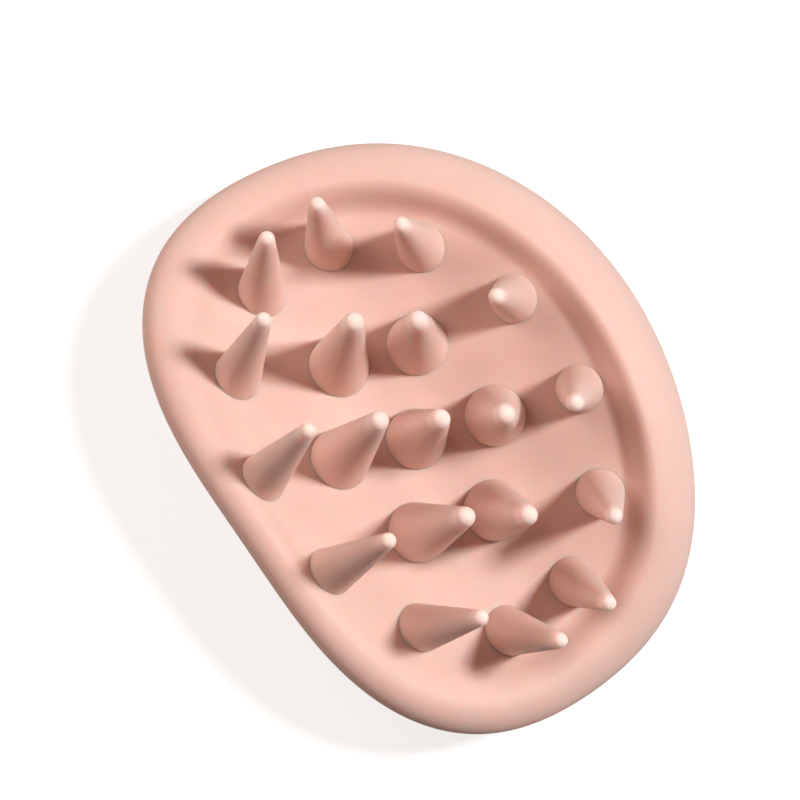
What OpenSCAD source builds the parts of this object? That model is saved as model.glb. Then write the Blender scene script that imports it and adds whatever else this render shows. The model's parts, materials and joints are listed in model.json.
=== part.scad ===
// Soft palm brush: an oval silicone bowl with a rolled rim and nineteen rubbing cones.
//
// It lies on its domed back with the cones up. X runs along the long axis, Y along the
// short one, and the origin is under the middle of the body, on the surface it rests on.
// The body is one moulding in life. Here it is the rim, the dish and the palm grip, and
// each cone is a piece of its own that leans about its elastic root.

/* [Outline] */
// Length over the rolled rim, along X
body_l = 111.5; // [100:0.5:125]
// Width over the rolled rim, along Y
body_w = 84.4; // [78:0.2:95]
// How far the outline swells at its three soft lobes, as a share of its radius
swell = 0.033; // [0:0.001:0.05]
// How far the outline fills out at its four corners, as a share of its radius
fullness = 0.027; // [0:0.001:0.04]
// How far the four full corners are turned back about Z
fullness_turn = 5; // [0:1:20]
// Finer unevenness of the squeezed outline, five times round it
ripple = 0.009; // [0:0.001:0.02]

/* [Rim] */
// Radius of the rolled bead at the two ends
bead_r = 6.6; // [4:0.2:8]
// How much thicker the bead is at +Y and thinner at the palm's heel, as a share
bead_more = 0.42; // [0:0.02:0.44]
// Height of the bead's crest above the dish's middle, at the two ends
crest_at_ends = 7.5; // [6:0.5:12]
// Height of the bead's crest above the dish's middle, at the two long sides
crest_at_sides = 15.5; // [14:0.1:20]

/* [Dish] */
// Rise of the dish over half the cone field's length
rise_long = 2.2; // [0:0.2:4]
// Rise of the dish over half the cone field's width
rise_short = 9.7; // [4:0.1:11]
// Half the length of the line where the dish turns up into the bead's inner wall
foot_l = 42; // [40:0.5:44]
// Half the width of that line
foot_w = 30.5; // [28:0.1:32]
// How far that line is set from the outline's middle, towards the palm's heel
foot_back = 1.6; // [0:0.1:3]
// Share of the inner wall's width that its hollow foot takes, before its round top
fillet = 0.42; // [0.3:0.02:0.6]
// Depth of the dish web under its face
web = 7.5; // [7:0.1:9]

/* [Palm grip] */
// Thickness of the whole body under its middle
middle_t = 11; // [10.5:0.1:14]
// Length of the flat crown it rests on
crown_l = 60; // [40:1:64]
// Width of the flat crown it rests on
crown_w = 28; // [20:1:32]

/* [Cone field] */
// Half the length of the outer ring of cones, from root to root
field_l = 37.7; // [34:0.1:40]
// Half the width of the outer ring of cones, from root to root
field_w = 28.4; // [26:0.1:30]
// How far the field is set from the outline's middle, towards the palm's heel
field_back = 2.7; // [0:0.1:4]
// How far the field is set from the outline's middle, along the long axis
field_aside = 0.55; // [0:0.05:2]
// Turn of the field about Z against the long axis
field_turn = 15; // [0:1:30]
// Outward lean of the outer cones along the long axis
lean_out = 12; // [0:1:15]
// Inward lean of the outer cones along the short axis
lean_in = 20; // [0:1:24]

/* [Cones] */
// Height of the middle cone and the inner ring's cones, from root to tip
tall_h = 29.6; // [24:0.1:32]
// Height of the outer ring's cones, from root to tip
short_h = 24.4; // [20:0.1:27]
// Root radius of the tall cones
tall_root_r = 5.4; // [4.8:0.1:5.8]
// Root radius of the short cones
short_root_r = 4.25; // [3.8:0.05:4.6]
// Radius of a tall cone's round tip
tall_tip_r = 1.7; // [1.4:0.05:2]
// Radius of a short cone's round tip
short_tip_r = 1.35; // [1.1:0.05:1.6]
// Room round a cone's ball-shaped root, as a share of the root's radius
seat_room = 0.15; // [0.1:0.005:0.17]

/* [Hidden] */
INNER = 6;
OUTER = 12;
INNER_NODES = [for (i = [1:INNER]) str("cone_inner_", i)];
OUTER_NODES = [for (i = [1:OUTER]) str("cone_outer_", i)];

// How finely each curve is stepped: stations round the outline, then rings across it
ROUND = 72;
DISH_RINGS = 10;
WALL_RINGS = 6;
WEB_RINGS = 6;
BACK_RINGS = 10;
BEAD_STEPS = 11;
ROOT_STEPS = 10;
TIP_STEPS = 6;

// Half-axes of the outline
half_l = body_l / 2;
half_w = body_w / 2;
// Height of the bead from its crest to the neck below it, and the neck's inset, as shares of
// the bead's radius
BEAD_DROP = 2.04;
NECK_IN = 0.88;
// Share of the way from the dish's middle to the crest at which the inner wall starts
wall_start = 0.85;
// Turn of the bead's round section, from its crest to where it runs into the neck
bead_turn = 165;

silicone = "#F3BDB0";
cone_silicone = "#EFB3A5";

// How far the outline stands out from a plain oval at the angle t, as a share
function wave(t) =
    ripple * sin(5 * t) - swell * sin(3 * t) - fullness * cos(4 * (t + fullness_turn));

// The angle of each station round the outline
function at(k) = 360 * k / ROUND;

// The outline's middle, set so that the body is centred on X = 0 and Y = 0
reach_x = [for (k = [0:ROUND - 1]) half_l * (1 + wave(at(k))) * cos(at(k))];
reach_y = [for (k = [0:ROUND - 1]) half_w * (1 + wave(at(k))) * sin(at(k))];
mid_x = -(max(reach_x) + min(reach_x)) / 2;
mid_y = -(max(reach_y) + min(reach_y)) / 2;
// The middle of the cone field
field_x = mid_x + field_aside;
field_y = mid_y - field_back;

// A place on the plan: half-axes a and b, angle t, and the share s of the full wave
function plan(a, b, t, s) =
    let (g = 1 + s * wave(t))
    [mid_x + a * g * cos(t), mid_y + b * g * sin(t)];

// The bead's radius, which is largest at +Y
function bead_at(t) = bead_r * (1 + bead_more * sin(t));

// The bead's crest line, and the line where the inner wall starts
function crest_plan(t) = plan(half_l - bead_at(t), half_w - bead_at(t), t, 1);
function foot_plan(t) = plan(foot_l, foot_w, t, 0.5) - [0, foot_back];

// A ring of the dish: r is 0 at its middle, wall_start at the wall's foot and 1 at the crest
function dish_plan(r, t) =
    let (centre = [mid_x, mid_y - foot_back])
    let (foot = foot_plan(t))
    r <= wall_start
        ? centre + (foot - centre) * r / wall_start
        : foot + (crest_plan(t) - foot) * (r - wall_start) / (1 - wall_start);

// Height of the bead's crest above the resting plane
function crest_z(t) =
    middle_t + crest_at_ends * pow(cos(t), 2) + crest_at_sides * pow(sin(t), 2);

// Height of the open bowl above the resting plane, at the place p
function bowl_z(p) =
    middle_t + rise_long * pow((p.x - field_x) / field_l, 2)
    + rise_short * pow((p.y - mid_y) / field_w, 2);

// How fast the bowl climbs from the place p along the way v
function bowl_slope(p, v) =
    2 * rise_long * (p.x - field_x) * v.x / pow(field_l, 2)
    + 2 * rise_short * (p.y - mid_y) * v.y / pow(field_w, 2);

// Share of the way up the bead's inner wall
function up_wall(r) = max(0, (r - wall_start) / (1 - wall_start));

// The inner wall's climb: a hollow foot, then a round top
function climb(u) = u < fillet ? u * u / fillet : 1 - pow(1 - u, 2) / (1 - fillet);

// The dish's face: the open bowl, then one smooth curve from its edge to the crest
function face_point(r, t) =
    let (p = dish_plan(r, t))
    let (foot = foot_plan(t))
    let (foot_z = bowl_z(foot))
    let (slope = bowl_slope(foot, crest_plan(t) - foot))
    let (u = up_wall(r))
    let (wall_z = foot_z + (crest_z(t) - foot_z) * climb(u) + slope * u * pow(1 - u, 2))
    [p.x, p.y, r <= wall_start ? bowl_z(p) : wall_z];

// The underside of the web, where the palm grip begins
function web_point(r, t) =
    let (p = dish_plan(r, t))
    let (low_z = bowl_z(dish_plan(min(r, wall_start), t)) - web)
    let (edge_z = crest_z(t) - BEAD_DROP * bead_at(t))
    [p.x, p.y, low_z + (edge_z - low_z) * up_wall(r)];

// The bead's outer face: turned 0 at the crest and 90 at its widest
function bead_point(turned, t) =
    let (inset = bead_at(t) * (1 - sin(turned)))
    let (p = plan(half_l - inset, half_w - inset, t, 1))
    [p.x, p.y, crest_z(t) - bead_at(t) * (1 - cos(turned))];

// The domed back: s is 0 at the neck under the bead and 1 at the crown's edge
function back_point(s, t) =
    let (inset = NECK_IN * bead_at(t))
    let (a = (half_l - inset) * (1 - s) + crown_l / 2 * s)
    let (b = (half_w - inset) * (1 - s) + crown_w / 2 * s)
    let (p = plan(a, b, t, 1 - s))
    [p.x, p.y, (crest_z(t) - BEAD_DROP * bead_at(t)) * pow(1 - s, 2)];

// One ring of each surface, a point at every station
function face_ring(r) = [for (k = [0:ROUND - 1]) face_point(r, at(k))];
function web_ring(r) = [for (k = [0:ROUND - 1]) web_point(r, at(k))];
function bead_ring(turned) = [for (k = [0:ROUND - 1]) bead_point(turned, at(k))];
function back_ring(s) = [for (k = [0:ROUND - 1]) back_point(s, at(k))];

// The web's underside from its edge inwards
web_rings = concat([web_ring(1)], [for (i = [WEB_RINGS:-1:1]) web_ring(wall_start * i / WEB_RINGS)]);

// Two triangles for each cell between the rings a and b
function band(a, b) = [
    for (k = [0:ROUND - 1])
        let (n = (k + 1) % ROUND)
        each [
            [b * ROUND + n, b * ROUND + k, a * ROUND + k],
            [a * ROUND + n, b * ROUND + n, a * ROUND + k]
        ]
];

function turned_over(faces) = [for (f = faces) [f[2], f[1], f[0]]];

function points_of(rings) = [for (ring = rings) each ring];

// A closed body of rings that run out from one pole and back in to another
module poled(rings, first, last, from_below) {
    n = len(rings);
    bands = [for (i = [0:n - 2]) each band(i, i + 1)];
    opening = [for (k = [0:ROUND - 1]) [(k + 1) % ROUND, k, n * ROUND]];
    closing = [
        for (k = [0:ROUND - 1])
            [(n - 1) * ROUND + k, (n - 1) * ROUND + (k + 1) % ROUND, n * ROUND + 1]
    ];
    faces = concat(opening, bands, closing);
    polyhedron(concat(points_of(rings), [first, last]), from_below ? turned_over(faces) : faces);
}

// A closed body of rings that run round a section and meet again
module looped(rings) {
    n = len(rings);
    polyhedron(points_of(rings), [for (i = [0:n - 1]) each band(i, (i + 1) % n)]);
}

// Root of a cone, at the share of the full field and the angle round it
function root_place(share, angle) =
    let (x = field_x + share * field_l * cos(angle + field_turn))
    let (y = field_y + share * field_w * sin(angle + field_turn))
    [x, y, bowl_z([x, y])];

// The way that the cone there points
function root_lean(share, angle) = [
    share * cos(angle + field_turn) * tan(lean_out),
    -share * sin(angle + field_turn) * tan(lean_in),
    1
];

// Half a cone's outline: a ball root, straight sides that touch it, and a round tip
function cone_outline(h, root_r, tip_r) =
    let (side = asin((root_r - tip_r) / (h - tip_r)))
    concat(
        [[0, -root_r]],
        [
            for (i = [1:ROOT_STEPS])
                let (a = -90 + (90 + side) * i / ROOT_STEPS)
                [root_r * cos(a), root_r * sin(a)]
        ],
        [
            for (i = [0:TIP_STEPS - 1])
                let (a = side + (90 - side) * i / TIP_STEPS)
                [tip_r * cos(a), h - tip_r + tip_r * sin(a)]
        ],
        [[0, h]]
    );

module cone(share, angle, h, root_r, tip_r) {
    way = root_lean(share, angle);
    color(cone_silicone)
        translate(root_place(share, angle))
            rotate([0, acos(way.z / norm(way)), atan2(way.y, way.x)])
                rotate_extrude($fn = 48)
                    polygon(cone_outline(h, root_r, tip_r));
}

module tall_cone(share, angle) {
    cone(share, angle, tall_h, tall_root_r, tall_tip_r);
}

module short_cone(angle) {
    cone(1, angle, short_h, short_root_r, short_tip_r);
}

// The round seat that a cone's root turns in
module seat(share, angle, root_r) {
    translate(root_place(share, angle))
        sphere(root_r * (1 + seat_room), $fn = 48);
}

// The rolled bead round the edge, from its crest to the neck
module rim() {
    roll = [for (i = [0:BEAD_STEPS]) bead_ring(bead_turn * i / BEAD_STEPS)];
    color(silicone)
        looped(concat(roll, [back_ring(0), web_ring(1)]));
}

// The bowl-shaped web, with a seat for each cone
module dish() {
    bowl = [for (i = [1:DISH_RINGS]) face_ring(wall_start * i / DISH_RINGS)];
    wall = [for (i = [1:WALL_RINGS]) face_ring(wall_start + (1 - wall_start) * i / WALL_RINGS)];
    middle_xy = [mid_x, mid_y - foot_back];
    middle = [middle_xy.x, middle_xy.y, bowl_z(middle_xy)];
    color(silicone)
        difference() {
            poled(concat(bowl, wall, web_rings), middle, middle - [0, 0, web], false);
            seat(0, 0, tall_root_r);
            for (i = [0:INNER - 1])
                seat(0.5, 360 / INNER * i, tall_root_r);
            for (i = [0:OUTER - 1])
                seat(1, 360 / OUTER * i, short_root_r);
        }
}

// The domed back, with the flat crown that the brush rests on
module palm_grip() {
    back = [for (i = [BACK_RINGS:-1:0]) back_ring(i / BACK_RINGS)];
    middle_xy = [mid_x, mid_y - foot_back];
    under = [middle_xy.x, middle_xy.y, bowl_z(middle_xy) - web];
    color(silicone)
        poled(concat(back, web_rings), [mid_x, mid_y, 0], under, true);
}

rim();
dish();
palm_grip();
tall_cone(0, 0);  // cone_middle
for (i = [0:INNER - 1])
    tall_cone(0.5, 360 / INNER * i);
for (i = [0:OUTER - 1])
    short_cone(360 / OUTER * i);
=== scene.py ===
import json
import math

import bpy
from mathutils import Matrix, Vector


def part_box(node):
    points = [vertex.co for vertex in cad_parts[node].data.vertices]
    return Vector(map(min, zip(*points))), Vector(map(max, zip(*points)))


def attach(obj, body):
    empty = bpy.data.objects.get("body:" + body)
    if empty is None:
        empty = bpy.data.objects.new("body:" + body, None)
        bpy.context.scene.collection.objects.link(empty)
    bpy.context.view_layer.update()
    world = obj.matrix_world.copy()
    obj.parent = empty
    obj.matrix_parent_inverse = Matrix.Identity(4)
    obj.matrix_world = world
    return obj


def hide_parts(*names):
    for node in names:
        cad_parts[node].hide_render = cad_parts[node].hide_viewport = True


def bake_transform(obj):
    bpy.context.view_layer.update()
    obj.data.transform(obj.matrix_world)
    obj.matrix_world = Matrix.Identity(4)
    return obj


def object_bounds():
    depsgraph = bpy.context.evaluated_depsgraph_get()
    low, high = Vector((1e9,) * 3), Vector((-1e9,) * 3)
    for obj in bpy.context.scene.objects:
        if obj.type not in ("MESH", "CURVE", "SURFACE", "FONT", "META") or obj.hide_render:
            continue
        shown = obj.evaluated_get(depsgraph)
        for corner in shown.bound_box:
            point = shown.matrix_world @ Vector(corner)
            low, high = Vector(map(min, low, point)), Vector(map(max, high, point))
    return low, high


bl_info = {
    "name": "Silicone palm brush",
    "version": (1, 0, 0),
    "blender": (4, 5, 0),
    "location": "3D View > Sidebar > Palm brush",
    "description": "Moulds a soft silicone palm brush: a squeezed oval dish and its cones",
    "category": "Object",
}

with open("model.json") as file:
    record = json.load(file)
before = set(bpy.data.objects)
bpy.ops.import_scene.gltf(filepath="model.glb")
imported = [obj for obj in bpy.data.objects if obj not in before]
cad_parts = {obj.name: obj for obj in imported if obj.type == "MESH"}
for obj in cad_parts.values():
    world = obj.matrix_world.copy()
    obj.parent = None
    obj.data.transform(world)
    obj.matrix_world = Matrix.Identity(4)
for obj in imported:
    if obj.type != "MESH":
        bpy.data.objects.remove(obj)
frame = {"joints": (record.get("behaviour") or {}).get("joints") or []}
CAD_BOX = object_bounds()

MM = 0.001
BODY = "brush_body"
PAINTED_TIP_LIGHT = "painted_tip_light"
FLOOR_HEIGHT = 11 * MM
# Where the back starts under the rolled rim: in from the edge and down from the crest, in radii
NECK_IN = 0.88
BEAD_DROP = 2.04
# Rings in each stretch of the body, and the degrees between two rings of the rolled rim
FLOOR_RINGS, WALL_RINGS, BEAD_RINGS, BACK_RINGS = 16, 14, 16, 16
BEAD_STEP = 11
# The table, in metres, and the sweep of its edge, which widens it by a share
TABLE_RADIUS = 2.2
SWEEP_STEPS, SWEEP_HEIGHT, SWEEP_WIDENS = 8, 0.5, 0.25
# The painted tip light starts this many tip radii below the top, and is whole after this many more
PALE_FROM, PALE_OVER = 3.2, 2.4
WHITE = "#FFFFFF"
WARM_WHITE = "#FFEFE9"

ROOTS = {joint["child"]: Vector(joint["pos_m"]) for joint in frame["joints"]}
TALL_CONES = ["cone_middle"] + [f"cone_inner_{n}" for n in range(1, 7)]
SHORT_CONES = [f"cone_outer_{n}" for n in range(1, 13)]
RIM_LOW, RIM_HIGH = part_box("rim")


def linear(hex_colour):
    """An sRGB hex colour as the linear RGBA that the shaders take."""
    parts = [int(hex_colour[n:n + 2], 16) / 255 for n in (1, 3, 5)]
    straight = [p / 12.92 if p <= 0.04045 else ((p + 0.055) / 1.055) ** 2.4 for p in parts]
    return tuple(straight) + (1.0,)


STATIONS = [math.radians(5 * n) for n in range(72)]
SWELL, FULLNESS, FULLNESS_TURN, RIPPLE = 0.033, 0.027, math.radians(5), 0.009


def wave(turn, swell, fullness, fullness_turn, ripple):
    """How far the squeezed outline stands out from a plain oval, as a share."""
    return (ripple * math.sin(5 * turn) - swell * math.sin(3 * turn)
            - fullness * math.cos(4 * (turn + fullness_turn)))


def outline_points(*waves):
    """The squeezed outline of half-axes 1, as places along and places across."""
    points = [(1 + wave(turn, *waves), turn) for turn in STATIONS]
    return ([out * math.cos(turn) for out, turn in points],
            [out * math.sin(turn) for out, turn in points])


def outline_reach(*waves):
    """How long and how wide the squeezed outline of half-axes 1 comes out."""
    along, across = outline_points(*waves)
    return max(along) - min(along), max(across) - min(across)


REACH = outline_reach(SWELL, FULLNESS, FULLNESS_TURN, RIPPLE)


class BodySizes(bpy.types.PropertyGroup):
    """Sizes of the squeezed oval body."""
    length: bpy.props.FloatProperty(
        name="Length", description="Long axis of the oval before it is squeezed",
        default=2 * (RIM_HIGH.x - RIM_LOW.x) / REACH[0], unit="LENGTH")
    width: bpy.props.FloatProperty(
        name="Width", description="Short axis of the oval before it is squeezed",
        default=2 * (RIM_HIGH.y - RIM_LOW.y) / REACH[1], unit="LENGTH")
    swell: bpy.props.FloatProperty(
        name="Swell", description="How far the three lobes stand out, as a share",
        default=SWELL, subtype="FACTOR")
    fullness: bpy.props.FloatProperty(
        name="Fullness", description="How far the four corners fill out, as a share",
        default=FULLNESS, subtype="FACTOR")
    fullness_turn: bpy.props.FloatProperty(
        name="Fullness turn", description="How far the four full corners are turned back",
        default=FULLNESS_TURN, subtype="ANGLE")
    ripple: bpy.props.FloatProperty(
        name="Ripple", description="Finer unevenness of the outline, as a share",
        default=RIPPLE, subtype="FACTOR")
    bead: bpy.props.FloatProperty(
        name="Rim roll radius", description="Middle radius of the rolled rim",
        default=6.6 * MM, unit="LENGTH")
    bead_more: bpy.props.FloatProperty(
        name="Rim roll difference", description="How much thicker the roll is at the fingers' side",
        default=0.42, subtype="FACTOR")
    middle: bpy.props.FloatProperty(
        name="Dish floor height", description="Height of the middle of the dish over the back",
        default=FLOOR_HEIGHT, unit="LENGTH")
    crest_ends: bpy.props.FloatProperty(
        name="Rim lift at the ends",
        description="How far the rim stands over the floor at the ends",
        default=7.5 * MM, unit="LENGTH")
    crest_sides: bpy.props.FloatProperty(
        name="Rim lift at the sides",
        description="How far the rim stands over the floor at the sides",
        default=RIM_HIGH.z - FLOOR_HEIGHT, unit="LENGTH")
    rise_long: bpy.props.FloatProperty(
        name="Rise along", description="How far the floor rises to the outer cones, along",
        default=2.2 * MM, unit="LENGTH")
    rise_across: bpy.props.FloatProperty(
        name="Rise across", description="How far the floor rises to the outer cones, across",
        default=9.7 * MM, unit="LENGTH")
    field_long: bpy.props.FloatProperty(
        name="Field along", description="Half-length of the field that the cones stand in",
        default=37.7 * MM, unit="LENGTH")
    field_across: bpy.props.FloatProperty(
        name="Field across", description="Half-width of the field that the cones stand in",
        default=28.4 * MM, unit="LENGTH")
    field_aside: bpy.props.FloatProperty(
        name="Field aside", description="How far the cone field is set off the middle, along",
        default=0.55 * MM, unit="LENGTH")
    foot_long: bpy.props.FloatProperty(
        name="Wall foot along", description="Half-length of the line where the wall starts",
        default=42 * MM, unit="LENGTH")
    foot_across: bpy.props.FloatProperty(
        name="Wall foot across", description="Half-width of the line where the wall starts",
        default=30.5 * MM, unit="LENGTH")
    foot_back: bpy.props.FloatProperty(
        name="Wall foot back", description="How far that line is set toward the palm's heel",
        default=1.6 * MM, unit="LENGTH")
    fillet: bpy.props.FloatProperty(
        name="Wall hollow", description="Share of the wall's width that its hollow foot takes",
        default=0.42, subtype="FACTOR")
    crown_long: bpy.props.FloatProperty(
        name="Resting flat along", description="Length of the flat that the back rests on",
        default=60 * MM, unit="LENGTH")
    crown_across: bpy.props.FloatProperty(
        name="Resting flat across", description="Width of the flat that the back rests on",
        default=28 * MM, unit="LENGTH")
    spokes: bpy.props.IntProperty(
        name="Spokes", description="Sides of each ring before it is subdivided", default=120)


class ConeSizes(bpy.types.PropertyGroup):
    """Sizes of the tall and the short cones."""
    tall_root: bpy.props.FloatProperty(
        name="Tall root radius", description="Radius of a tall cone at its root",
        default=5.4 * MM, unit="LENGTH")
    tall_tip: bpy.props.FloatProperty(
        name="Tall tip radius", description="Radius of a tall cone's round tip",
        default=1.7 * MM, unit="LENGTH")
    short_root: bpy.props.FloatProperty(
        name="Short root radius", description="Radius of a short cone at its root",
        default=4.25 * MM, unit="LENGTH")
    short_tip: bpy.props.FloatProperty(
        name="Short tip radius", description="Radius of a short cone's round tip",
        default=1.35 * MM, unit="LENGTH")
    sink: bpy.props.FloatProperty(
        name="Sink", description="How deep a cone runs on into the body",
        default=4 * MM, unit="LENGTH")
    bend_end: bpy.props.FloatProperty(
        name="Bend end", description="Share of its height over which a cone bends as it leans",
        default=0.75, subtype="FACTOR")
    spokes: bpy.props.IntProperty(
        name="Spokes", description="Sides of a cone before it is subdivided", default=32)


class SiliconeFinish(bpy.types.PropertyGroup):
    """Colour and surface of the moulded silicone."""
    colour: bpy.props.FloatVectorProperty(
        name="Colour", description="Pigmented silicone in white light", subtype="COLOR", size=4,
        default=linear("#E5C8BE"))
    deep_colour: bpy.props.FloatVectorProperty(
        name="Deeper colour", description="Where the pigment lies a little denser", subtype="COLOR",
        size=4, default=linear("#E3C5BB"))
    # Painted light: the tips' paler colour stands in for their highlight and the light that shines
    # through them
    painted_tip_light_colour: bpy.props.FloatVectorProperty(
        name="Tip colour", description="Where a cone is too thin to hold much pigment",
        subtype="COLOR", size=4, default=linear("#F7E0D8"))
    roughness: bpy.props.FloatProperty(
        name="Roughness", description="Roughness of the blasted mould's surface", default=0.54,
        subtype="FACTOR")
    depth: bpy.props.FloatProperty(
        name="Light depth", description="How deep red light runs into the silicone",
        default=1.4 * MM, unit="LENGTH")
    grain: bpy.props.FloatProperty(
        name="Grain",
        description="Width of the mould's fine blasted grain, drawn coarse enough to show",
        default=0.45 * MM, unit="LENGTH")


class StageSetup(bpy.types.PropertyGroup):
    """Camera, lights and table."""
    distance: bpy.props.FloatProperty(
        name="Camera distance", description="From the lens to the middle cone's root", default=0.45,
        unit="LENGTH")
    lens: bpy.props.FloatProperty(
        name="Lens", description="Focal length on a 36 mm sensor", default=115.6)
    turn: bpy.props.FloatProperty(
        name="Turn", description="How far the brush is turned in the picture",
        default=math.radians(-54), subtype="ANGLE")
    tilt_right: bpy.props.FloatProperty(
        name="Tilt right", description="How far the brush faces right of the lens",
        default=math.radians(8.0), subtype="ANGLE")
    tilt_up: bpy.props.FloatProperty(
        name="Tilt up", description="How far the brush faces above the lens",
        default=math.radians(7.7), subtype="ANGLE")
    aside: bpy.props.FloatVectorProperty(
        name="Framing", description="How far the lens stands off the middle cone's root",
        size=2, default=(-2.75 * MM, 6.88 * MM), unit="LENGTH")
    key_from: bpy.props.FloatVectorProperty(
        name="Key from", description="Direction toward the key light", size=3,
        default=(0.19, 0.50, 0.84), subtype="DIRECTION")
    key_distance: bpy.props.FloatProperty(
        name="Key distance", description="From the brush to the key light", default=0.9,
        unit="LENGTH")
    key_size: bpy.props.FloatProperty(
        name="Key size", description="Width of the key light's round softbox", default=0.16,
        unit="LENGTH")
    key_power: bpy.props.FloatProperty(
        name="Key power", description="Power of the key light", default=6.0, unit="POWER")
    fill_from: bpy.props.FloatVectorProperty(
        name="Fill from", description="Direction toward the fill light", size=3,
        default=(-0.80, -0.40, 0.60), subtype="DIRECTION")
    fill_distance: bpy.props.FloatProperty(
        name="Fill distance", description="From the brush to the fill light", default=0.8,
        unit="LENGTH")
    fill_size: bpy.props.FloatProperty(
        name="Fill size", description="Width of the fill light's softbox", default=0.6,
        unit="LENGTH")
    fill_power: bpy.props.FloatProperty(
        name="Fill power", description="Power of the fill light", default=2.6, unit="POWER")
    sky: bpy.props.FloatProperty(
        name="Room light", description="Strength of the light from the pale room", default=0.19)
    glow: bpy.props.FloatProperty(
        name="Table glow", description="Brightness of the table's own glow", default=0.62)


def only(obj=None):
    """Leave nothing selected but this object."""
    bpy.ops.object.select_all(action="DESELECT")
    if obj:
        obj.select_set(True)
        bpy.context.view_layer.objects.active = obj


def add_node(tree, kind, settings=None, links=None):
    """Add a shader node with its settings and its links."""
    new = tree.nodes.new(kind)
    for name, value in (settings or {}).items():
        if name in new.inputs:
            new.inputs[name].default_value = value
        else:
            setattr(new, name, value)
    for name, source in (links or {}).items():
        tree.links.new(source, new.inputs[name])
    return new


def moulded_silicone(finish):
    """Liquid silicone rubber, pigmented all through and moulded in blasted steel.

    To the eye it is matte but never dry. Light runs a millimetre or so into it and comes out
    redder, so its shadows are warm. Its thin tips are painted paler, as painted light. The mould
    leaves a grain that is only just seen and a broad, milky highlight.
    """
    known = bpy.data.materials.get("moulded_silicone")
    if known:
        return known
    material = bpy.data.materials.new("moulded_silicone")
    material.use_nodes = True
    tree = material.node_tree
    tree.nodes.clear()
    place = add_node(tree, "ShaderNodeTexCoord").outputs["Object"]
    # Pigment stirred in a little unevenly, in clouds about 18 mm across
    clouds = add_node(tree, "ShaderNodeTexNoise",
                      {"Scale": 1 / (18 * MM), "Detail": 2.0, "Roughness": 0.4}, {"Vector": place})
    spread = add_node(tree, "ShaderNodeMapRange",
                      {"From Min": 0.35, "From Max": 0.65, "To Min": 0.0, "To Max": 1.0},
                      {"Value": clouds.outputs["Fac"]})
    pigment = add_node(tree, "ShaderNodeMix",
                       {"data_type": "RGBA"}, {"Factor": spread.outputs["Result"]})
    pigment.inputs[6].default_value = finish.colour
    pigment.inputs[7].default_value = finish.deep_colour
    # Painted light: near their round ends the tips are painted paler, standing in for their
    # highlight and for the light that shines through the thin silicone
    thin = add_node(tree, "ShaderNodeAttribute", {"attribute_name": PAINTED_TIP_LIGHT})
    tinted = add_node(tree, "ShaderNodeMix", {"data_type": "RGBA"}, {"Factor": thin.outputs["Fac"]})
    tree.links.new(pigment.outputs[2], tinted.inputs[6])
    tinted.inputs[7].default_value = finish.painted_tip_light_colour
    # The blasted grain, and the faint waviness of a soft wall that left its mould warm
    grain = add_node(tree, "ShaderNodeTexNoise",
                     {"Scale": 1 / finish.grain, "Detail": 3.0, "Roughness": 0.6},
                     {"Vector": place})
    waves = add_node(tree, "ShaderNodeTexNoise",
                     {"Scale": 1 / (9 * MM), "Detail": 1.0, "Roughness": 0.4}, {"Vector": place})
    soft = add_node(tree, "ShaderNodeBump",
                    {"Strength": 0.25, "Distance": 0.06 * MM}, {"Height": waves.outputs["Fac"]})
    fine = add_node(tree, "ShaderNodeBump",
                    {"Strength": 0.35, "Distance": 0.02 * MM},
                    {"Height": grain.outputs["Fac"], "Normal": soft.outputs["Normal"]})
    sheen = add_node(tree, "ShaderNodeMapRange",
                     {"From Min": 0.3, "From Max": 0.7, "To Min": finish.roughness - 0.04,
                      "To Max": finish.roughness + 0.04}, {"Value": grain.outputs["Fac"]})
    shader = add_node(tree, "ShaderNodeBsdfPrincipled",
                      {"IOR": 1.41, "Subsurface Weight": 1.0, "Subsurface Scale": finish.depth,
                       "Subsurface Radius": (1.0, 0.34, 0.24), "Specular IOR Level": 0.4},
                      {"Base Color": tinted.outputs[2], "Roughness": sheen.outputs["Result"],
                       "Normal": fine.outputs["Normal"]})
    add_node(tree, "ShaderNodeOutputMaterial", None, {"Surface": shader.outputs["BSDF"]})
    material.diffuse_color = finish.colour
    return material


def next_ring(old, new):
    """Extrude the open ring and bring it to the next ring's half-axes and height."""
    bpy.ops.mesh.extrude_region_move(TRANSFORM_OT_translate={"value": (0, 0, new[2] - old[2])})
    bpy.ops.transform.resize(value=(new[0] / old[0], new[1] / old[1], 1),
                             center_override=(0, 0, new[2]))


def turned_rings(name, rings, spokes):
    """Build a closed form of rings, each with its half-axes and height, from one circle."""
    only()
    bpy.ops.mesh.primitive_circle_add(vertices=spokes, radius=1, location=(0, 0, rings[0][2]))
    piece = bpy.context.object
    piece.name = piece.data.name = name
    piece.scale = (rings[0][0], rings[0][1], 1)
    bpy.ops.object.transform_apply(location=True, rotation=True, scale=True)
    bpy.ops.object.mode_set(mode="EDIT")
    bpy.ops.mesh.select_mode(type="VERT")
    bpy.ops.mesh.select_all(action="SELECT")
    for old, new in zip(rings, rings[1:]):
        next_ring(old, new)
    bpy.ops.mesh.select_all(action="SELECT")
    bpy.ops.mesh.fill_holes(sides=0)
    bpy.ops.object.mode_set(mode="OBJECT")
    return piece


def smooth_over(piece, material):
    """Face the mesh outwards, subdivide it, shade it smooth and give it its material."""
    only(piece)
    bpy.ops.object.mode_set(mode="EDIT")
    bpy.ops.mesh.select_all(action="SELECT")
    bpy.ops.mesh.normals_make_consistent(inside=False)
    bpy.ops.object.mode_set(mode="OBJECT")
    rounding = piece.modifiers.new("rounding", "SUBSURF")
    rounding.levels = rounding.render_levels = 1
    bpy.ops.object.modifier_apply(modifier=rounding.name)
    bpy.ops.object.shade_smooth()
    piece.data.materials.clear()
    piece.data.materials.append(material)


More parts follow.
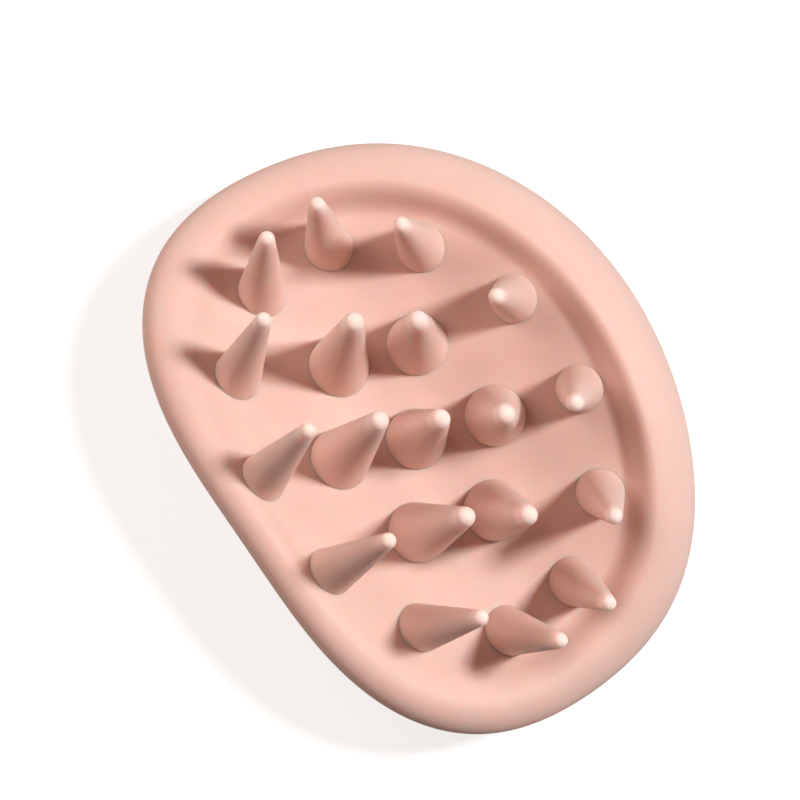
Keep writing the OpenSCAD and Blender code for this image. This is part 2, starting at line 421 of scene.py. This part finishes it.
class Squeeze:
    """Where each ring of the body lies once a hand has squeezed the plain oval."""

    def __init__(self, sizes):
        self.s = s = sizes
        self.half_x, self.half_y = sizes.length / 2, sizes.width / 2
        self.waves = (s.swell, s.fullness, s.fullness_turn, s.ripple)
        along, across = outline_points(*self.waves)
        self.middle_x = -self.half_x * (max(along) + min(along)) / 2
        self.middle_y = -self.half_y * (max(across) + min(across)) / 2

    def plan(self, half_x, half_y, turn, share):
        """A point on an oval that takes a share of the squeezed outline's wave."""
        out = 1 + share * wave(turn, *self.waves)
        return (self.middle_x + half_x * out * math.cos(turn),
                self.middle_y + half_y * out * math.sin(turn))

    def roll(self, turn):
        return self.s.bead * (1 + self.s.bead_more * math.sin(turn))

    def crest_z(self, turn):
        return (self.s.middle + self.s.crest_ends * math.cos(turn) ** 2
                + self.s.crest_sides * math.sin(turn) ** 2)

    def floor_z(self, x, y):
        """The dish floor: nearly flat along, curved up across."""
        across = (y - self.middle_y) / self.s.field_across
        along = (x - self.middle_x - self.s.field_aside) / self.s.field_long
        return self.s.middle + self.s.rise_long * along ** 2 + self.s.rise_across * across ** 2

    def foot(self, turn):
        x, y = self.plan(self.s.foot_long, self.s.foot_across, turn, 0.5)
        return x, y - self.s.foot_back

    def floor(self, share, turn):
        """The open floor, from its middle to the foot of the wall."""
        x, y = self.foot(turn)
        x = self.middle_x + (x - self.middle_x) * share
        y0 = self.middle_y - self.s.foot_back
        y = y0 + (y - y0) * share
        return x, y, self.floor_z(x, y)

    def wall(self, share, turn):
        """The inner wall: out of the floor in a hollow, and over in a round top."""
        foot_x, foot_y = self.foot(turn)
        foot_z = self.floor_z(foot_x, foot_y)
        roll = self.roll(turn)
        crest_x, crest_y = self.plan(self.half_x - roll, self.half_y - roll, turn, 1)
        run_x, run_y = crest_x - foot_x, crest_y - foot_y
        slope = (2 * self.s.rise_long * (foot_x - self.middle_x - self.s.field_aside) * run_x
                 / self.s.field_long ** 2
                 + 2 * self.s.rise_across * (foot_y - self.middle_y) * run_y
                 / self.s.field_across ** 2)
        fillet = self.s.fillet
        climb = share ** 2 / fillet if share < fillet else 1 - (1 - share) ** 2 / (1 - fillet)
        z = foot_z + (self.crest_z(turn) - foot_z) * climb + slope * share * (1 - share) ** 2
        return foot_x + run_x * share, foot_y + run_y * share, z

    def bead(self, rolled, turn):
        """The rolled rim, from its crest down its outside and in under it."""
        roll = self.roll(turn)
        inset = roll * (1 - math.sin(rolled))
        x, y = self.plan(self.half_x - inset, self.half_y - inset, turn, 1)
        return x, y, self.crest_z(turn) - roll * (1 - math.cos(rolled))

    def back(self, share, turn):
        """The domed back, from under the rim to the flat that it rests on."""
        inset = NECK_IN * self.roll(turn)
        half_x = (self.half_x - inset) * (1 - share) + self.s.crown_long / 2 * share
        half_y = (self.half_y - inset) * (1 - share) + self.s.crown_across / 2 * share
        x, y = self.plan(half_x, half_y, turn, 1 - share)
        return x, y, (self.crest_z(turn) - BEAD_DROP * self.roll(turn)) * (1 - share) ** 2

    def crown(self, share, turn):
        """The flat that the brush rests on."""
        x, y = self.plan(self.s.crown_long / 2 * share, self.s.crown_across / 2 * share, turn, 0)
        return x, y, 0.0

    def rings(self):
        """Each ring as a shape and a share, in the order that they are extruded."""
        found = [(self.floor, share) for share in (0.02, 0.06)]
        found += [(self.floor, n / FLOOR_RINGS) for n in range(2, FLOOR_RINGS)]
        found += [(self.floor, 0.97)]
        found += [(self.wall, n / WALL_RINGS) for n in range(0, WALL_RINGS)]
        found += [(self.bead, math.radians(n * BEAD_STEP)) for n in range(0, BEAD_RINGS)]
        found += [(self.back, n / BACK_RINGS) for n in range(1, BACK_RINGS + 1)]
        found += [(self.crown, share) for share in (0.8, 0.55, 0.3, 0.1)]
        return found


def squeeze_body(piece, rings, spokes):
    """Move each vertex of the plain oval to its place in the squeezed one."""
    for vertex in piece.data.vertices:
        ring = vertex.index // spokes
        half_x, half_y, _ = rings.plain[ring]
        turn = math.atan2(vertex.co.y / half_y, vertex.co.x / half_x)
        shape, share = rings.shapes[ring]
        vertex.co = shape(share, turn)
    piece.data.update()


class RingList:
    """The rings as shapes, and the plain oval that each starts as."""

    def __init__(self, squeeze):
        self.shapes = squeeze.rings()
        self.plain = []
        for shape, share in self.shapes:
            end, side = shape(share, 0), shape(share, math.pi / 2)
            self.plain.append((end[0], side[1] - squeeze.middle_y, (end[2] + side[2]) / 2))


class PALMBRUSH_OT_body(bpy.types.Operator):
    """Mould the dish, the rolled rim and the domed back in one piece"""
    bl_idname = "palmbrush.body"
    bl_label = "Mould the body"

    def execute(self, context):
        sizes = context.scene.palmbrush_body
        rings = RingList(Squeeze(sizes))
        piece = turned_rings("soft_body", rings.plain, sizes.spokes)
        if len(piece.data.vertices) != len(rings.plain) * sizes.spokes:
            raise RuntimeError("the body's rings don't add up")
        squeeze_body(piece, rings, sizes.spokes)
        smooth_over(piece, moulded_silicone(context.scene.palmbrush_finish))
        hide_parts("rim", "dish", "palm_grip")
        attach(piece, BODY)
        return {"FINISHED"}


def cone_rings(root, tip, height, sink):
    """Half-axes and heights up a straight cone with a round tip that its sides run into."""
    rise = height - tip
    lean = math.asin((root - tip) / rise)
    straight_top = rise + tip * math.sin(lean)
    rings = []
    levels = [-sink, -sink * 0.96, -sink / 2, 0.0]
    levels += [straight_top * n / 16 for n in range(1, 16)]
    levels += [straight_top * 0.985, straight_top]
    for z in levels:
        radius = (root - z * math.sin(lean)) / math.cos(lean)
        rings.append((radius, radius, z))
    for n in range(1, 7):
        angle = lean + (math.pi / 2 - lean) * n / 6.6
        radius = tip * math.cos(angle)
        rings.append((radius, radius, rise + tip * math.sin(angle)))
    return rings


def mark_painted_tip_light(pattern, tip, height):
    """Keep how near each vertex is to the round tip, where the material paints the tips' light, for
    the material to read.
    """
    place = pattern.data.attributes.new(PAINTED_TIP_LIGHT, "FLOAT", "POINT")
    for vertex, row in zip(pattern.data.vertices, place.data):
        over = vertex.co.z - (height - PALE_FROM * tip)
        share = min(max(over / (PALE_OVER * tip), 0.0), 1.0)
        row.value = share * share * (3 - 2 * share)


def cone_axis(node, tip):
    """A cone's root, the way that it points and its height, from its node in the frame."""
    root = ROOTS[node]
    mesh = bpy.data.objects[node].data
    top = max((vertex.co for vertex in mesh.vertices), key=lambda co: co.z)
    reach = Vector((top.x, top.y, top.z - tip)) - root
    return root, reach.normalized(), reach.length + tip


def place_cone(pattern, node, tip):
    """Copy the pattern with its own mesh and stand it on its root."""
    root, way, height = cone_axis(node, tip)
    piece = pattern.copy()
    piece.data = pattern.data.copy()
    piece.name = piece.data.name = node.replace("cone", "soft_cone")
    bpy.context.collection.objects.link(piece)
    only(piece)
    upright = way.to_track_quat("Z", "Y").to_matrix().to_4x4()
    piece.matrix_world = Matrix.Translation(root) @ upright
    bpy.ops.object.transform_apply(location=True, rotation=True, scale=True)
    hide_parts(node)
    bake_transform(piece)
    return piece


class PALMBRUSH_OT_cones(bpy.types.Operator):
    """Mould one tall and one short cone, and set a copy on each root"""
    bl_idname = "palmbrush.cones"
    bl_label = "Mould the cones"

    def execute(self, context):
        sizes = context.scene.palmbrush_cones
        material = moulded_silicone(context.scene.palmbrush_finish)
        for kind, nodes, root, tip in (
                ("tall", TALL_CONES, sizes.tall_root, sizes.tall_tip),
                ("short", SHORT_CONES, sizes.short_root, sizes.short_tip)):
            height = cone_axis(nodes[0], tip)[2]
            rings = cone_rings(root, tip, height, sizes.sink)
            pattern = turned_rings(f"{kind}_cone_pattern", rings, sizes.spokes)
            smooth_over(pattern, material)
            mark_painted_tip_light(pattern, tip, height)
            for node in nodes:
                place_cone(pattern, node, tip)
            bpy.data.objects.remove(pattern)
        return {"FINISHED"}


def light_table(setup):
    """White acrylic light table, pale and even, with a glow of its own that only the lens sees."""
    material = bpy.data.materials.new("white_acrylic_table")
    material.use_nodes = True
    tree = material.node_tree
    tree.nodes.clear()
    seen = add_node(tree, "ShaderNodeLightPath")
    shader = add_node(tree, "ShaderNodeBsdfPrincipled",
                      {"Base Color": linear("#A6A4A2"), "Roughness": 0.6, "IOR": 1.49,
                       "Emission Color": (setup.glow, setup.glow, setup.glow, 1.0)},
                      {"Emission Strength": seen.outputs["Is Camera Ray"]})
    add_node(tree, "ShaderNodeOutputMaterial", None, {"Surface": shader.outputs["BSDF"]})
    return material


class PALMBRUSH_OT_stage(bpy.types.Operator):
    """Set the table, the lights and the camera"""
    bl_idname = "palmbrush.stage"
    bl_label = "Set the stage"

    def execute(self, context):
        setup = context.scene.palmbrush_stage
        self.table(setup)
        self.lights(context, setup)
        self.camera(context, setup)
        return {"FINISHED"}

    def table(self, setup):
        only()
        ground = CAD_BOX[0][2]
        bpy.ops.mesh.primitive_circle_add(vertices=96, radius=TABLE_RADIUS, fill_type="NGON",
                                          location=(0, 0, ground))
        table = bpy.context.object
        table.name = table.data.name = "light_table"
        bpy.ops.object.transform_apply(location=True, rotation=True, scale=True)
        bpy.ops.object.mode_set(mode="EDIT")
        bpy.ops.mesh.select_all(action="SELECT")
        # The table's edge sweeps up into a low pale wall
        height, grow = ground, 1.0
        for step in range(1, SWEEP_STEPS + 1):
            angle = math.pi / 2 * step / SWEEP_STEPS
            rise = SWEEP_HEIGHT * (1 - math.cos(angle)) + ground - height
            wider = 1 + SWEEP_WIDENS * math.sin(angle)
            bpy.ops.mesh.select_mode(type="EDGE")
            if step == 1:
                bpy.ops.mesh.select_all(action="SELECT")
                bpy.ops.mesh.region_to_loop()
            bpy.ops.mesh.extrude_edges_move(TRANSFORM_OT_translate={"value": (0, 0, rise)})
            bpy.ops.transform.resize(value=(wider / grow, wider / grow, 1),
                                     center_override=(0, 0, 0))
            height, grow = height + rise, wider
        bpy.ops.object.mode_set(mode="OBJECT")
        table.data.materials.append(light_table(setup))
        bpy.ops.object.shade_smooth_by_angle(angle=math.radians(40))

    def lights(self, context, setup):
        for name, way, distance, size, power, tint in (
                ("key_softbox", setup.key_from, setup.key_distance, setup.key_size,
                 setup.key_power, WHITE),
                ("fill_softbox", setup.fill_from, setup.fill_distance, setup.fill_size,
                 setup.fill_power, WARM_WHITE)):
            toward = Vector(way).normalized()
            only()
            bpy.ops.object.light_add(type="AREA", location=toward * distance)
            lamp = bpy.context.object
            lamp.name = name
            lamp.data.shape = "DISK"
            lamp.data.size = size
            lamp.data.energy = power
            lamp.data.color = linear(tint)[:3]
            lamp.rotation_euler = toward.to_track_quat("Z", "Y").to_euler()
        world = bpy.data.worlds.new("pale_room")
        world.use_nodes = True
        world.node_tree.nodes.clear()
        room = add_node(world.node_tree, "ShaderNodeBackground",
                        {"Color": linear("#FFE0D6"), "Strength": setup.sky})
        add_node(world.node_tree, "ShaderNodeOutputWorld", None,
                 {"Surface": room.outputs["Background"]})
        context.scene.world = world

    def camera(self, context, setup):
        middle = ROOTS["cone_middle"]
        tilt = Vector((-setup.tilt_up, setup.tilt_right, 0))
        facing = (Matrix.Rotation(tilt.length, 3, tilt.normalized())
                  @ Matrix.Rotation(setup.turn, 3, "Z")).transposed()
        stand = middle + facing @ Vector((setup.aside[0], setup.aside[1], setup.distance))
        only()
        bpy.ops.object.camera_add()
        camera = bpy.context.object
        camera.name = "product_camera"
        camera.data.lens = setup.lens
        camera.data.sensor_width = 36
        camera.matrix_world = Matrix.Translation(stand) @ facing.to_4x4()
        context.scene.camera = camera
        context.scene.view_settings.view_transform = "Standard"
        context.scene.view_settings.look = "Medium High Contrast"


class PALMBRUSH_PT_panel(bpy.types.Panel):
    """Sizes, finish and stage of the palm brush"""
    bl_label = "Palm brush"
    bl_idname = "PALMBRUSH_PT_panel"
    bl_space_type = "VIEW_3D"
    bl_region_type = "UI"
    bl_category = "Palm brush"

    def draw(self, context):
        for title, group, operator in (
                ("Body", context.scene.palmbrush_body, PALMBRUSH_OT_body),
                ("Cones", context.scene.palmbrush_cones, PALMBRUSH_OT_cones),
                ("Silicone", context.scene.palmbrush_finish, None),
                ("Stage", context.scene.palmbrush_stage, PALMBRUSH_OT_stage)):
            box = self.layout.box()
            box.label(text=title)
            for name in group.__annotations__:
                box.prop(group, name)
            if operator:
                box.operator(operator.bl_idname)


CLASSES = (BodySizes, ConeSizes, SiliconeFinish, StageSetup, PALMBRUSH_OT_body,
           PALMBRUSH_OT_cones, PALMBRUSH_OT_stage, PALMBRUSH_PT_panel)
GROUPS = {"palmbrush_body": BodySizes, "palmbrush_cones": ConeSizes,
          "palmbrush_finish": SiliconeFinish, "palmbrush_stage": StageSetup}


def register():
    for kind in CLASSES:
        bpy.utils.register_class(kind)
    for name, group in GROUPS.items():
        setattr(bpy.types.Scene, name, bpy.props.PointerProperty(type=group))


def unregister():
    for name in GROUPS:
        delattr(bpy.types.Scene, name)
    for kind in reversed(CLASSES):
        bpy.utils.unregister_class(kind)


def main():
    register()
    bpy.ops.palmbrush.stage()
    bpy.ops.palmbrush.body()
    bpy.ops.palmbrush.cones()


if __name__ == "__main__":
    main()
